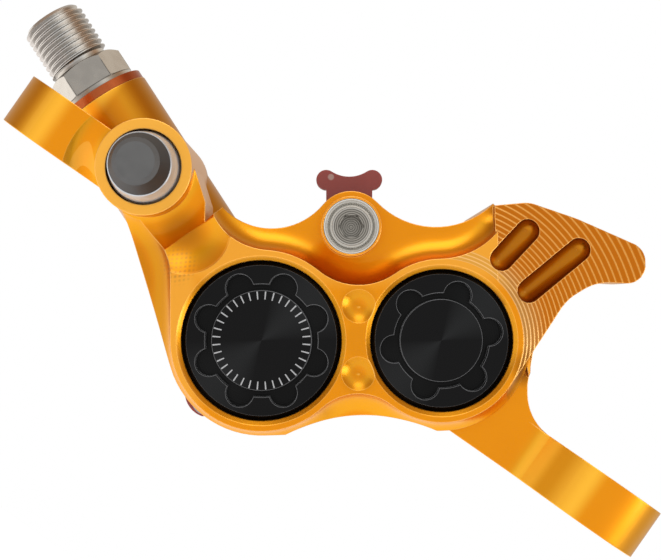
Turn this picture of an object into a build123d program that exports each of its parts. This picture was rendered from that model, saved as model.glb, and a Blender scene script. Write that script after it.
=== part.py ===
from build123d import *
from math import acos, atan2, ceil, cos, hypot, pi, radians, sin, sqrt
import os

os.makedirs("parts", exist_ok=True)

# Bicycle disc brake caliper, four pistons, one-piece body on a post mount. Millimetres.
# +Z points away from the mounting posts, +X runs along the row of bolts, +Y towards the wheel.
# The origin lies halfway between the two bolt axes, on the faces of the ears that meet the posts.
# The caliper is drawn lying flat with its outer face up, about the middle of the bores, and is then
# turned into place.

# Mounting
post_spacing = 74.2
rotor_offset = 15.5
lean = 34.9                 # degrees from the row of bolts to the row of bores
bores_along = 3.3
bores_above = 2.1
ear_thickness = 6.1
ear_width = 14.4
bolt_slot_width = 6.4
bolt_slot_travel = 3.0
bolt_head_room = 5.05
ear_ramp = 10.0
ear_ramp_fillet = 5.0

# Bores, pistons and their caps
large_piston = 16.0
small_piston = 14.0
cap_step = 1.05
bore_web = 3.2
mouth_chamfer = 0.5
rim_wall = 1.15
cap_thickness = 3.3
cap_inset = 0.6
cap_edge = 0.5
spigot_height = 1.6
spigot_step = 0.7
cap_lobe_inset = 2.65
cap_lobe_depth = 1.3
cap_disc_gap = 0.75
large_cap_lobes = 8
small_cap_lobes = 6
cap_lobe_radius = 1.6
cap_dish = 0.3
large_cap_turn_share = 0.5
small_cap_turn_share = 0.17
groove_share = 0.45
piston_length = 9.0
piston_wall = 2.2
piston_crown = 2.5
piston_lead = 0.5
seal_depth = 1.5
seal_width = 2.0
seal_setback = 3.0
dust_seal_depth = 1.1
dust_seal_width = 0.9
dust_seal_setback = 0.8
o_ring_thickness = 1.0

# Levels of the body, counted from the bolt plane towards the outer face
front_level = 6.5
cove_depth = 3.5
cove_radius = 3.1
arm_level = 1.5
pad_slot_width = 11.2
inboard_thickness = 12.9
back_wall = 1.6

# Outline of the body round the bores
skirt = 0.65
top_waist_radius = 7.0
low_waist_radius = 6.0
arch_radius = 20.0
arch_rise = 8.6
arch_across = 1.6
flank_lean = 16.9           # degrees that the front flank leans out
flank_fillet = 4.0
neck_fillet = 9.5
small_skirt = 1.15
heel_across = 20.4
heel_up = -5.2
heel_fillet = 6.0
waist_fillet = 3.0
dimple_radius = 1.9
dimple_depth = 0.8
web_share = 0.62

# Valleys on both sides of the pin boss
pin_rise = 12.9
pin_boss_radius = 4.15
pin_boss_level = 5.6
pin_rim_radius = 3.4
front_valley_across = 9.1
rear_valley_across = 9.7
front_valley_dip = 0.12
rear_valley_dip = -0.05
neck_valley_radius = 7.6
fin_valley_radius = 8.5
fin_root_across = 16.45

# Bleed boss and neck
bleed_across = -23.2
bleed_up = 19.4
bleed_boss_radius = 5.42
bleed_boss_level = 8.0
bleed_bore_radius = 4.25
bleed_bore_depth = 3.6
neck_side = 1.2
neck_blend = 17.4           # degrees between the edge of the neck and the rise of the boss
boss_groove_radius = 3.2
boss_groove_out = 1.6
boss_groove_level = 5.5
boss_groove_tilt = 11.6     # degrees that the groove leans down to the bores
saddle_radius = 8.0
saddle_depth = 1.9
saddle_out = 8.2

# Hose port
port_angle = 123.0          # degrees from the row of bores to the hose
port_radius = 5.9
port_side = 0.9
port_reach = 12.6
port_root = 9.5
port_thread_depth = 8.0

# Finned tail
fin_reach = 23.5
fin_underside = -6.0
fin_drop = 3.6
fin_first_step = 0.4
fin_last_step = 0.85
fin_spare = 2.0
fin_slot_radius = 1.35
fin_slot_depth = 2.1
fin_round_shares = (0.128, 0.340, 0.0936, 0.0936, 0.255, 0.255)
fin_top_shares = ((0.274, 0.651), (0.428, 0.667), (0.660, 0.590))
fin_tip_shares = ((1.004, 0.444), (1.004, 0.270))
fin_notch_shares = ((0.755, 0.283), (0.606, 0.196))
fin_slot_shares = (((0.287, 0.391), (0.419, 0.528)), ((0.419, 0.238), (0.670, 0.438)))

# Pads and what sits between them
pad_length = 38.0
pad_gap = 3.0
friction_thickness = 2.0
plate_thickness = 1.8
pad_stroke = 0.6
plate_top = 9.0
plate_low = -9.6
plate_rise = 1.6
pad_pin_play = 0.2
pad_tab_width = 8.6
pad_corner = 2.0
plate_shoulder = 4.0
friction_inset = 1.0
friction_top = 7.6
rotor_radius = 80.0
rotor_slot_width = 5.0
rotor_margin = 3.0
rotor_crown = 4.5
window_width = 16.0
spacer_thickness = 1.7
spacer_length = 40.4
spacer_low = -10.2
spacer_arch = 0.8
spacer_shoulder = 4.2
spacer_corner = 3.2
spacer_eye_width = 5.2
spacer_eye_top = 2.3
spacer_eye_low = 2.9
eye_round_share = 0.9
spacer_neck_width = 9.4
handle_width = 8.3
handle_waist = 5.8
handle_waist_rise = 4.1
handle_rise = 8.1
handle_lobe = 1.25
handle_dip = 0.85
spring_thickness = 0.4
spring_clearance = 0.3
spring_reach = 7.2
spring_leg = 3.0

# Pad pin, its clip, and the fastening of the bleed screw
pin_head_radius = 2.45
pin_radius = 1.95
pin_socket = 2.5
pin_socket_depth = 2.4
pin_head_inset = 0.2
pin_head_height = 3.9
pin_mouth_radius = 3.15
pin_mouth_depth = 1.4
pin_dish_depth = 0.7
pin_dish_edge = 0.1
pin_tail = 1.8
clip_radius = 3.1
clip_thickness = 0.6
clip_groove = 0.35
clip_gap = 2.2
screw_thread_radius = 3.0
screw_thread_length = 8.0
screw_flare_radius = 4.1
screw_neck_radius = 3.5
screw_neck_rise = 7.2
screw_flare_height = 0.8
nipple_radius = 2.0
nipple_rise = 2.2
cap_base_radius = 3.42
cap_top_radius = 2.6
rubber_cap_height = 3.6
rubber_cap_round = 0.5

# Hose connector and its washer
connector_thread_radius = 3.98
connector_thread_length = 6.6
connector_neck_radius = 3.5
connector_neck_length = 0.7
connector_hex = 9.4
connector_hex_height = 3.4
connector_hex_turn = -7.0   # degrees
connector_collar_radius = 5.0
connector_collar_height = 0.7
connector_bore_radius = 1.2
connector_seat_radius = 2.6
connector_chamfer = 0.55
hose_stub_length = 5.5
gallery_radius = 1.1
gallery_depth = 0.3
washer_radius = 5.8
washer_thickness = 1.1

# Clearances and the overrun of cuts
slide_fit = 0.04
seat_gap = 0.05
thread_gap = 0.06
pad_play = 0.4
joint_overlap = 0.2
overrun = 1.0

# Sizes that follow from the ones above
large_bore_radius = large_piston / 2
small_bore_radius = small_piston / 2
large_cap_radius = large_bore_radius + cap_step
small_cap_radius = small_bore_radius + cap_step
large_rim = large_cap_radius + rim_wall
small_rim = small_cap_radius + rim_wall
bore_spacing = large_cap_radius + small_cap_radius + bore_web
large_bore = (-bore_spacing / 2, 0)
small_bore = (bore_spacing / 2, 0)
pin_place = (0, pin_rise)
bleed_place = (bleed_across, bleed_up)
rotor_level = -rotor_offset
pad_slot_half = pad_slot_width / 2
outboard_wall = rotor_level + pad_slot_half
inboard_wall = rotor_level - pad_slot_half
back_level = inboard_wall - inboard_thickness
cove_level = front_level - cove_depth
ear_half = ear_width / 2
bolt_across = post_spacing / 2
plate_face = pad_gap / 2 + friction_thickness
plate_back = plate_face + plate_thickness
pad_middle = (small_bore_radius - large_bore_radius) / 2
pad_left = pad_middle - pad_length / 2
pad_right = pad_middle + pad_length / 2
bores = ((large_bore, large_bore_radius, large_cap_radius), (small_bore, small_bore_radius, small_cap_radius))
cap_top = front_level - cap_inset
cap_seat = cap_top - cap_thickness
bore_top = cap_seat - spigot_height
bleed_seat = bleed_boss_level - bleed_bore_depth
slot_left = pad_left - pad_play
slot_right = pad_right + pad_play
pin_hole_radius = pin_radius + seat_gap
pin_shoulder = pin_boss_level - pin_head_inset - pin_head_height
clip_room = clip_radius + pad_play
pin_end = back_level + pad_play
back_recess = pin_end + pin_tail

reach = post_spacing

home = Plane(
    origin=(bores_along, 0, bores_above),
    x_dir=(cos(radians(lean)), 0, sin(radians(lean))),
    z_dir=(0, -1, 0),
)


def flat(along, above):
    """Place on the flat-lying caliper of a point given along the bolts and above the mounting faces."""
    x = along - bores_along
    z = above - bores_above
    turn = radians(lean)
    return (x * cos(turn) + z * sin(turn), z * cos(turn) - x * sin(turn))


def disc(place, radius):
    return Pos(place[0], place[1]) * Circle(radius)


def shape(*points):
    return make_face(Polyline(*points, close=True))


def prism(outline, low, high):
    return extrude(Pos(0, 0, low) * outline, amount=high - low, dir=(0, 0, 1))


def post(place, radius, low, high):
    return prism(disc(place, radius), low, high)


def ring(place, outer, inner, low, high):
    return prism(disc(place, outer) - disc(place, inner), low, high)


def slab(left, right, low, high, bottom, top):
    return prism(shape((left, low), (right, low), (right, high), (left, high)), bottom, top)


def waist_centre(radius, side):
    """Centre of the circle that touches the rims of both bores, above or below their row."""
    large_reach = large_rim + radius
    small_reach = small_rim + radius
    across = (bore_spacing**2 + large_reach**2 - small_reach**2) / (2 * bore_spacing)
    return (large_bore[0] + across, side * sqrt(large_reach**2 - across**2))


def fillet_corner(outline, place, radius):
    corner = outline.vertices().sort_by_distance(Vector(place[0], place[1], 0))[0]
    return fillet(corner, radius)


def mirrored(solid):
    """The same solid on the other side of the rotor."""
    return mirror(solid, about=Plane.XY.offset(rotor_level))


def finish(name, solid, colour):
    placed = home * solid
    placed.label = name
    placed.color = colour
    export_step(placed, f"parts/{name}.step")


# Outline of the raised front face: rims round both bores, the web between them and the neck to the bleed boss
top_waist = waist_centre(top_waist_radius, 1)
low_waist = waist_centre(low_waist_radius, -1)
neck_right = bleed_across + bleed_boss_radius + neck_side
neck_valley_x = neck_right + neck_valley_radius
neck_valley_y = sqrt((large_rim + neck_valley_radius) ** 2 - (neck_valley_x - large_bore[0]) ** 2)
neck_valley = (neck_valley_x, neck_valley_y)
fin_valley_x = small_bore[0] - fin_valley_radius * sin(radians(lean)) / (fin_valley_radius + small_rim)
fin_valley_y = sqrt((small_rim + fin_valley_radius) ** 2 - (fin_valley_x - small_bore[0]) ** 2)
fin_valley = (fin_valley_x, fin_valley_y)
fin_top_corner = (small_bore[0] + fin_top_shares[0][0] * fin_reach, fin_top_shares[0][1] * fin_reach)
rim_left = large_bore[0] - large_rim
web_outline = shape(large_bore, top_waist, small_bore, low_waist)
web_outline -= disc(top_waist, top_waist_radius) + disc(low_waist, low_waist_radius)
bleed_along = -(bolt_across - bolt_head_room - ear_half / 2)
neck_corner = flat(0, 0)
mount_slope = -sin(radians(lean)) / cos(radians(lean))
neck_corner = (rim_left, neck_corner[1] + mount_slope * (rim_left - neck_corner[0]))
neck_outline = shape(
    large_bore,
    (rim_left, 0),
    neck_corner,
    flat(bleed_along, 0),
    bleed_place,
    (neck_right, bleed_up),
    (neck_right, neck_valley_y),
    neck_valley,
)
neck_outline = fillet_corner(neck_outline, neck_corner, neck_fillet) - disc(neck_valley, neck_valley_radius)
wedge_outline = shape(small_bore, (fin_root_across, 0), (fin_root_across, fin_top_corner[1]), fin_valley)
wedge_outline -= disc(fin_valley, fin_valley_radius)
front_outline = disc(large_bore, large_rim) + disc(small_bore, small_rim) + web_outline + neck_outline
front_outline += wedge_outline + disc(bleed_place, bleed_boss_radius)

# Outline of the terrace round it, without and with the arms of the ears
skirt_radius = large_rim + skirt
small_skirt_radius = small_rim + small_skirt


def valley(across, dip):
    """Circle that hollows the top edge beside the pin boss and touches the boss."""
    drop = -dip
    radius = (across**2 + drop**2 - pin_boss_radius**2) / (2 * (pin_boss_radius - drop))
    return radius, pin_rise + drop + radius


front_valley_radius, front_valley_up = valley(front_valley_across, front_valley_dip)
rear_valley_radius, rear_valley_up = valley(rear_valley_across, rear_valley_dip)
front_valley = (-front_valley_across, front_valley_up)
rear_valley = (rear_valley_across, rear_valley_up)
arch = (arch_across, -arch_rise - arch_radius)
flank = radians(flank_lean)
flank_foot = (large_bore[0] - skirt_radius * cos(flank), -skirt_radius * sin(flank))
flank_run = (flat(0, 0)[1] + mount_slope * (flank_foot[0] - flat(0, 0)[0]) - flank_foot[1])
flank_run = flank_run / (cos(flank) + mount_slope * sin(flank))
flank_top = (flank_foot[0] - flank_run * sin(flank), flank_foot[1] + flank_run * cos(flank))
shoulder_run = (plate_top - flank_foot[1]) / cos(flank)
shoulder = (flank_foot[0] - shoulder_run * sin(flank), plate_top)
notch_end = (small_bore[0] + fin_notch_shares[1][0] * fin_reach, fin_notch_shares[1][1] * fin_reach)
tail_far = hypot(notch_end[0] - small_bore[0], notch_end[1] - small_bore[1])
tail_turn = atan2(notch_end[1], notch_end[0] - small_bore[0]) - acos(small_rim / tail_far)
tail_foot = (
    small_bore[0] + small_rim * cos(tail_turn),
    small_bore[1] + small_rim * sin(tail_turn),
)
tail_side = notch_end[0] - notch_end[1] * (notch_end[0] - tail_foot[0]) / (notch_end[1] - tail_foot[1])
heel = (heel_across, heel_up)
heel_corner_up = flat(0, ear_thickness)[1] + mount_slope * (heel_across - flat(0, ear_thickness)[0])
arm_end = bolt_across - ear_half / 2
core_right = slot_right + back_wall
crown = shape(large_bore, front_valley, pin_place, rear_valley, small_bore) + disc(pin_place, pin_boss_radius)
hollows = disc(front_valley, front_valley_radius) + disc(rear_valley, rear_valley_radius)
hollows += disc(arch, arch_radius)
core_outline = shape(
    flank_foot,
    shoulder,
    (neck_right, front_valley_up - front_valley_radius + skirt),
    front_valley,
    large_bore,
)
core_outline += crown + shape(
    small_bore,
    rear_valley,
    fin_top_corner,
    (core_right, plate_top + cove_depth),
    (core_right, heel_up),
    (small_bore[0] + small_skirt_radius * cos(flank), -small_skirt_radius * sin(flank)),
)
core_outline += disc(large_bore, skirt_radius) + disc(small_bore, small_skirt_radius)
small_foot = (small_bore[0], -small_skirt_radius)
core_outline += shape(large_bore, small_bore, small_foot, (large_bore[0], -skirt_radius))
core_outline -= hollows
arms_outline = shape(
    flank_foot,
    flank_top,
    flat(-arm_end, 0),
    flat(-arm_end, ear_thickness),
    bleed_place,
    (neck_right, bleed_up),
    (neck_right, front_valley_up - front_valley_radius),
    front_valley,
    large_bore,
)
arms_outline = fillet_corner(arms_outline, flank_top, flank_fillet)
rear_arm = shape(
    flat(0, 0),
    (tail_side, 0),
    heel,
    (heel_across, heel_corner_up),
    flat(arm_end, ear_thickness),
    flat(arm_end, 0),
)
rear_arm = fillet_corner(rear_arm, (heel_across, heel_corner_up), heel_fillet)
rear_arm = fillet_corner(rear_arm, heel, waist_fillet)
arms_outline = arms_outline + disc(bleed_place, bleed_boss_radius) - hollows
arm_room = shape(small_bore, notch_end, (reach, notch_end[1]), (reach, -reach), (small_bore[0], -reach))
terrace_outline = core_outline + arms_outline - (arm_room - disc(small_bore, small_skirt_radius + skirt))

# The raised face runs down to the terrace in a cove
blank = slab(-reach, reach, -reach, reach, cove_level - cove_depth, cove_level)
blank += prism(front_outline, cove_level - cove_depth / 2, front_level)
floor_faces = blank.faces().filter_by(Axis.Z)
foot = floor_faces.filter_by_position(Axis.Z, cove_level - seat_gap, cove_level + seat_gap)
foot_edges = [edge for wire in foot[0].inner_wires() for edge in wire.edges()]
blank = fillet(foot_edges, cove_radius)
body = blank & prism(terrace_outline, cove_level - cove_depth, front_level + overrun)

# Core behind it, the arms to the ears and the ears themselves
core = prism(core_outline, back_level, cove_level - cove_depth + seat_gap)
body += core
body += prism(arms_outline, -ear_half, cove_level - cove_depth + seat_gap)
body += prism(rear_arm - hollows, -ear_half, arm_level)
ear_plane = Plane(
    origin=(*flat(0, 0), 0),
    x_dir=(cos(radians(lean)), -sin(radians(lean)), 0),
    z_dir=(sin(radians(lean)), cos(radians(lean)), 0),
)
ramp_foot = (bolt_across - ear_ramp, -arm_level)
rear_ear_outline = shape(
    (bolt_across, -ear_half),
    (bolt_across, ear_half),
    (bolt_across - ear_ramp - ear_half, ear_half),
    (bolt_across - ear_ramp - ear_half, -arm_level),
    ramp_foot,
    (bolt_across - ear_half * sin(radians(lean)), -ear_half * cos(radians(lean))),
)
rear_ear_outline = fillet_corner(rear_ear_outline, ramp_foot, ear_ramp_fillet)
rear_ear_outline += disc((bolt_across, 0), ear_half)
front_ear_outline = shape(
    (-bolt_across, -ear_half),
    (-bolt_across, ear_half),
    (-arm_end + ear_half, ear_half),
    (-arm_end + ear_half, -ear_half),
)
front_ear_outline += disc((-bolt_across, 0), ear_half)
body += ear_plane * prism(rear_ear_outline + front_ear_outline, 0, ear_thickness)

# Bleed boss in its leaning groove, with the saddle between it and the rim of the large bore
saddle_run = Vector(large_bore[0] - bleed_across, large_bore[1] - bleed_up, 0).normalized()
groove_plane = Plane(
    origin=(*bleed_place, boss_groove_level + boss_groove_radius),
    z_dir=saddle_run * sin(radians(boss_groove_tilt)) + Vector(0, 0, cos(radians(boss_groove_tilt))),
)
body -= groove_plane * Torus(bleed_boss_radius + boss_groove_out, boss_groove_radius)
saddle = Vector(*bleed_place, front_level + saddle_radius - saddle_depth) + saddle_run * saddle_out
body -= Pos(saddle) * Sphere(saddle_radius)
blend = radians(neck_blend)
blend_reach = bleed_boss_radius - joint_overlap
neck_top = (bleed_across + blend_reach * cos(blend), bleed_up + blend_reach * sin(blend))
neck_bend = (neck_right, neck_top[1] - (neck_right - neck_top[0]) * cos(blend) / sin(blend))
shelf = shape(neck_top, neck_bend, (neck_right + overrun, neck_bend[1]), (neck_right + overrun, neck_top[1]))
body -= prism(shelf, -ear_half - overrun, reach)
body += post(bleed_place, bleed_boss_radius, rotor_level, bleed_boss_level)
body += post(pin_place, pin_rim_radius, outboard_wall, pin_boss_level)

# Hose port, lying across the rotor plane
port_turn = radians(port_angle)
port_plane = Plane(
    origin=(bleed_across - port_side * sin(port_turn), bleed_up + port_side * cos(port_turn), rotor_level),
    x_dir=(-sin(port_turn), cos(port_turn), 0),
    z_dir=(cos(port_turn), sin(port_turn), 0),
)
body += port_plane * post((0, 0), port_radius, -port_root, port_reach)

# Finned tail with its stepped top and two slots
fin_points = [
    (small_bore[0] + along * fin_reach, up * fin_reach)
    for along, up in (*fin_top_shares, *fin_tip_shares, *fin_notch_shares)
]
fin_points[0] = (fin_root_across - joint_overlap, fin_points[0][1])
fin_outline = shape((fin_points[0][0], 0), *fin_points, tail_foot)
for place, share in zip(fin_points[1:], fin_round_shares):
    fin_outline = fillet_corner(fin_outline, place, share * fin_reach)
fin = prism(fin_outline, fin_underside, front_level)
fin_run = fin_reach + fin_spare - small_rim
steps = ceil(2 * fin_run / (fin_first_step + fin_last_step))
ring_radius = small_rim
stair = [(ring_radius, reach)]
for step in range(steps):
    ring_end = ring_radius + fin_first_step + (fin_last_step - fin_first_step) * step / steps
    level = front_level - fin_drop * (ring_end - small_rim) / fin_run
    stair += [(ring_radius, level), (ring_end, level)]
    ring_radius = ring_end
stair += [(ring_radius + fin_spare, level), (ring_radius + fin_spare, reach)]
fin -= Pos(*small_bore) * revolve(Plane.XZ * shape(*stair), Axis.Z)
fin_slots = []
for ends in fin_slot_shares:
    first, last = [(small_bore[0] + along * fin_reach, up * fin_reach) for along, up in ends]
    far = hypot(last[0] - small_bore[0], last[1])
    floor = front_level - fin_drop * (far - small_rim) / fin_run - fin_slot_depth + fin_slot_radius
    run = Vector(last[0] - first[0], last[1] - first[1], 0)
    slot_plane = Plane(origin=(*first, floor), z_dir=run)
    slot = slot_plane * post((0, 0), fin_slot_radius, 0, run.length)
    side = run.normalized() * fin_slot_radius
    trench = shape(
        (first[0] - side.Y, first[1] + side.X),
        (last[0] - side.Y, last[1] + side.X),
        (last[0] + side.Y, last[1] - side.X),
        (first[0] + side.Y, first[1] - side.X),
    )
    for end in (first, last):
        trench += disc(end, fin_slot_radius)
        slot += Pos(*end, floor) * Sphere(fin_slot_radius)
    slot += prism(trench, floor, reach)
    fin_slots.append(slot)
fin_room = prism(fin_outline - disc(small_bore, small_rim), fin_underside, reach)
body -= fin_room & slab(fin_root_across, reach, -reach, reach, fin_underside, reach)
body += fin
for slot in fin_slots:
    body -= slot

# Bores with the seats of their caps and the grooves of their seals
for place, bore, cap in bores:
    body -= post(place, cap, cap_seat, reach)
    body -= post(place, cap - spigot_step, bore_top, cap_seat + overrun)
    body -= post(place, bore, rotor_level, bore_top + overrun)
    mouth = Pos(*place, front_level - mouth_chamfer) * Cone(
        bottom_radius=cap,
        top_radius=cap + mouth_chamfer,
        height=mouth_chamfer,
        align=(Align.CENTER, Align.CENTER, Align.MIN),
    )
    body -= mouth
    body -= mirrored(post(place, bore, rotor_level, bore_top))
    for depth, width, setback in (
        (seal_depth, seal_width, seal_setback + overrun),
        (dust_seal_depth, dust_seal_width, dust_seal_setback + overrun / 2),
    ):
        groove = post(place, bore + depth, outboard_wall + setback, outboard_wall + setback + width)
        body -= groove
        body -= mirrored(groove)

# Slot of the pads, open below, the window over it and the slot of the rotor through both end walls
body -= slab(slot_left, slot_right, -reach, plate_top + pad_play, inboard_wall, outboard_wall)
body -= slab(-window_width / 2, window_width / 2, 0, reach, inboard_wall, outboard_wall)
rotor_top = rotor_crown + rotor_margin
rotor_reach = rotor_radius + rotor_margin
rotor_low = rotor_level - rotor_slot_width / 2
rotor_room = post((0, rotor_top - rotor_reach), rotor_reach, rotor_low, rotor_low + rotor_slot_width)
body -= rotor_room & slab(slot_left - bleed_boss_radius, reach, -reach, reach, back_level, front_level)

# Holes of the pad pin, the bleed screw and the hose, and the oil ways between the bores
body -= post(pin_place, pin_hole_radius, back_level - overrun, reach)
body -= post(pin_place, pin_head_radius + seat_gap, pin_shoulder, reach)
body -= post(pin_place, clip_room, back_level - overrun, back_recess)
body -= post(pin_place, pin_mouth_radius, pin_boss_level - pin_mouth_depth, reach)
body -= post(bleed_place, bleed_bore_radius, bleed_seat, reach)
bleed_drill = bleed_seat - screw_thread_length - screw_thread_radius
body -= post(bleed_place, screw_thread_radius + thread_gap, bleed_drill, reach)
body -= post(bleed_place, gallery_radius, rotor_level, front_level)
port_bore = connector_thread_radius + thread_gap
body -= port_plane * post((0, 0), port_bore, port_reach - port_thread_depth, port_reach + overrun)
body -= port_plane * post((0, 0), gallery_radius, -port_side, port_reach)


def drilling(first, last, level):
    run = Vector(last[0] - first[0], last[1] - first[1], 0)
    plane = Plane(origin=(first[0], first[1], level), z_dir=run)
    return plane * post((0, 0), gallery_radius, 0, run.length)


oil_level = bore_top - gallery_radius - gallery_depth
body -= drilling(bleed_place, large_bore, oil_level)
body -= drilling(large_bore, small_bore, oil_level)
body -= mirrored(drilling(large_bore, small_bore, oil_level))

# Shallow dimples in the web, the slots for the bolts and the room over them for their heads
dimple_ball = (dimple_radius * dimple_radius / dimple_depth + dimple_depth) / 2
for waist, radius in ((top_waist, -top_waist_radius), (low_waist, low_waist_radius)):
    spot_up = (waist[1] + radius) * web_share
    body -= Pos(waist[0], spot_up, front_level + dimple_ball - dimple_depth) * Sphere(dimple_ball)
body -= ear_plane * slab(-reach, flat(0, 0)[0] - bolt_across + ear_half, -ear_half, ear_half, -reach, 0)
for side in (-1, 1):
    for radius, low, high in (
        (bolt_slot_width / 2, -overrun, ear_thickness + overrun),
        (bolt_head_room, ear_thickness, reach),
    ):
        slot = disc((side * bolt_across, bolt_slot_travel / 2), radius)
        slot += disc((side * bolt_across, -bolt_slot_travel / 2), radius)
        left = side * bolt_across - radius
        slot += shape(
            (left, -bolt_slot_travel / 2),
            (left + radius * 2, -bolt_slot_travel / 2),
            (left + radius * 2, bolt_slot_travel / 2),
            (left, bolt_slot_travel / 2),
        )
        body -= ear_plane * prism(slot, low, high)
finish("body", body, Color(0.95, 0.55, 0.12))


def lathe(*profile):
    """Solid turned about the upright axis from points given as radius and height."""
    return revolve(Plane.XZ * shape(*profile), Axis.Z)


def hexagon(across_flats):
    return RegularPolygon(across_flats / 2, 6, major_radius=False)


def torus(place, middle, thickness, level):
    return Pos(place[0], place[1], level) * Torus(middle, thickness / 2)


# Caps of the bores, with a scalloped recess for the tool, and the rings that seal them
for name, place, cap, lobes, turn_share in (
    ("cap_large", large_bore, large_cap_radius, large_cap_lobes, large_cap_turn_share),
    ("cap_small", small_bore, small_cap_radius, small_cap_lobes, small_cap_turn_share),
):
    rim = cap - seat_gap
    spigot = cap - spigot_step - seat_gap
    groove_floor = cap - o_ring_thickness - seat_gap
    groove_middle = cap_seat + cap_thickness * groove_share
    groove_low = groove_middle - o_ring_thickness / 2 - slide_fit
    groove_high = groove_middle + o_ring_thickness / 2 + slide_fit
    cover = lathe(
        (0, bore_top + seat_gap),
        (spigot, bore_top + seat_gap),
        (spigot, cap_seat),
        (rim, cap_seat),
        (rim, groove_low),
        (groove_floor, groove_low),
        (groove_floor, groove_high),
        (rim, groove_high),
        (rim, cap_top - cap_edge),
        (rim - cap_edge, cap_top),
        (0, cap_top),
    )
    cover = Pos(*place) * cover
    lobe_reach = cap - cap_lobe_inset
    disc_radius = lobe_reach - cap_disc_gap
    recess = disc(place, lobe_reach)
    for lobe in range(lobes):
        turn = 2 * pi * (lobe + turn_share) / lobes
        spot = (place[0] + lobe_reach * cos(turn), place[1] + lobe_reach * sin(turn))
        recess += disc(spot, cap_lobe_radius)
    cover -= prism(recess - disc(place, disc_radius), cap_top - cap_lobe_depth, reach)
    cover -= post(place, disc_radius, cap_top - cap_dish, reach)
    finish(name, cover, Color(0.12, 0.12, 0.13))
    o_ring = torus(place, cap - seat_gap - o_ring_thickness / 2, o_ring_thickness - seat_gap, groove_middle)
    finish(name.replace("cap", "o_ring"), o_ring, Color(0.1, 0.1, 0.1))

# Pistons with their pressure seals and dust seals
for size, place, bore in (("large", large_bore, large_bore_radius), ("small", small_bore, small_bore_radius)):
    radius = bore - slide_fit
    face = rotor_level + plate_back + seat_gap
    back = face + piston_length
    piston = lathe(
        (0, face + piston_crown),
        (radius - piston_wall, face + piston_crown),
        (radius - piston_wall, face),
        (radius - piston_lead, face),
        (radius, face + piston_lead),
        (radius, back - piston_lead),
        (radius - piston_lead, back),
        (0, back),
    )
    seal = ring(place, bore + seal_depth - seat_gap, bore, 0, seal_width - seat_gap * 2)
    seal = Pos(0, 0, outboard_wall + seal_setback + overrun + seat_gap) * seal
    dust = ring(place, bore + dust_seal_depth - seat_gap, bore, 0, dust_seal_width - seat_gap * 2)
    dust = Pos(0, 0, outboard_wall + dust_seal_setback + overrun / 2 + seat_gap) * dust
    for name, solid, colour in (
        ("piston", Pos(*place) * piston, Color(0.75, 0.75, 0.77)),
        ("pressure_seal", seal, Color(0.15, 0.15, 0.15)),
        ("dust_seal", dust, Color(0.2, 0.2, 0.2)),
    ):
        finish(f"{name}_{size}_outboard", solid, colour)
        finish(f"{name}_{size}_inboard", mirrored(solid), colour)


def low_arch(left, right, low, rise):
    """Disc that hollows the lower edge of a plate."""
    half = (right - left) / 2
    radius = (half * half + rise * rise) / (2 * rise)
    return disc((left + half, low + rise - radius), radius)


# Pads: steel plates with an eye for the pin and the friction blocks on them
tab_half = pad_tab_width / 2
plate_outline = shape(
    (pad_right, plate_low),
    (pad_left, plate_low),
    (pad_left, plate_top - plate_shoulder),
    (pad_left + plate_shoulder, plate_top),
    (-tab_half, plate_top),
    (-tab_half, pin_rise),
    (tab_half, pin_rise),
    (tab_half, plate_top),
    (pad_right - plate_shoulder, plate_top),
    (pad_right, plate_top - plate_shoulder),
)
for corner in ((pad_left, plate_low), (pad_right, plate_low)):
    plate_outline = fillet_corner(plate_outline, corner, pad_corner)
plate_outline += disc(pin_place, tab_half)
plate_outline -= disc(pin_place, pin_radius + pad_pin_play)
plate_outline -= low_arch(pad_left, pad_right, plate_low, plate_rise)
friction_outline = shape(
    (pad_right - friction_inset, plate_low + friction_inset),
    (pad_left + friction_inset, plate_low + friction_inset),
    (pad_left + friction_inset, friction_top - plate_shoulder),
    (pad_left + friction_inset + plate_shoulder, friction_top),
    (pad_right - friction_inset - plate_shoulder, friction_top),
    (pad_right - friction_inset, friction_top - plate_shoulder),
)
friction_outline -= low_arch(pad_left, pad_right, plate_low + friction_inset, plate_rise)
plate = prism(plate_outline, rotor_level + plate_face, rotor_level + plate_back)
block = prism(friction_outline, rotor_level + pad_gap / 2, rotor_level + plate_face)
finish("pad_plate_outboard", plate, Color(0.45, 0.46, 0.48))
finish("pad_plate_inboard", mirrored(plate), Color(0.45, 0.46, 0.48))
finish("friction_outboard", block, Color(0.35, 0.28, 0.24))
finish("friction_inboard", mirrored(block), Color(0.35, 0.28, 0.24))

# Transport spacer between the pads, hung on the pin
spacer_left = pad_middle - spacer_length / 2
spacer_right = pad_middle + spacer_length / 2
neck_half = spacer_neck_width / 2
waist_half = handle_waist / 2
handle_half = handle_width / 2
handle_level = pin_rise + handle_rise - handle_lobe
lobe_across = handle_half - handle_lobe
lobe_sag = handle_lobe - handle_dip
hollow_radius = (lobe_across**2 + lobe_sag**2 - handle_lobe**2) / (2 * handle_dip)
hollow_rise = hollow_radius + lobe_sag
touch_across = lobe_across * hollow_radius / (hollow_radius + handle_lobe)
touch_level = handle_level + hollow_rise * handle_lobe / (hollow_radius + handle_lobe)
spacer_outline = shape(
    (spacer_right, spacer_low),
    (spacer_left, spacer_low),
    (spacer_left, spacer_shoulder),
    (-neck_half - spacer_corner, friction_top),
    (-neck_half, plate_top),
    (-neck_half, pin_rise),
    (-waist_half, pin_rise + handle_waist_rise),
    (-lobe_across, handle_level),
    (-touch_across, touch_level),
    (touch_across, touch_level),
    (lobe_across, handle_level),
    (waist_half, pin_rise + handle_waist_rise),
    (neck_half, pin_rise),
    (neck_half, plate_top),
    (neck_half + spacer_corner, friction_top),
    (spacer_right, spacer_shoulder),
)
for corner in ((spacer_left, spacer_low), (spacer_right, spacer_low)):
    spacer_outline = fillet_corner(spacer_outline, corner, spacer_corner)
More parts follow.
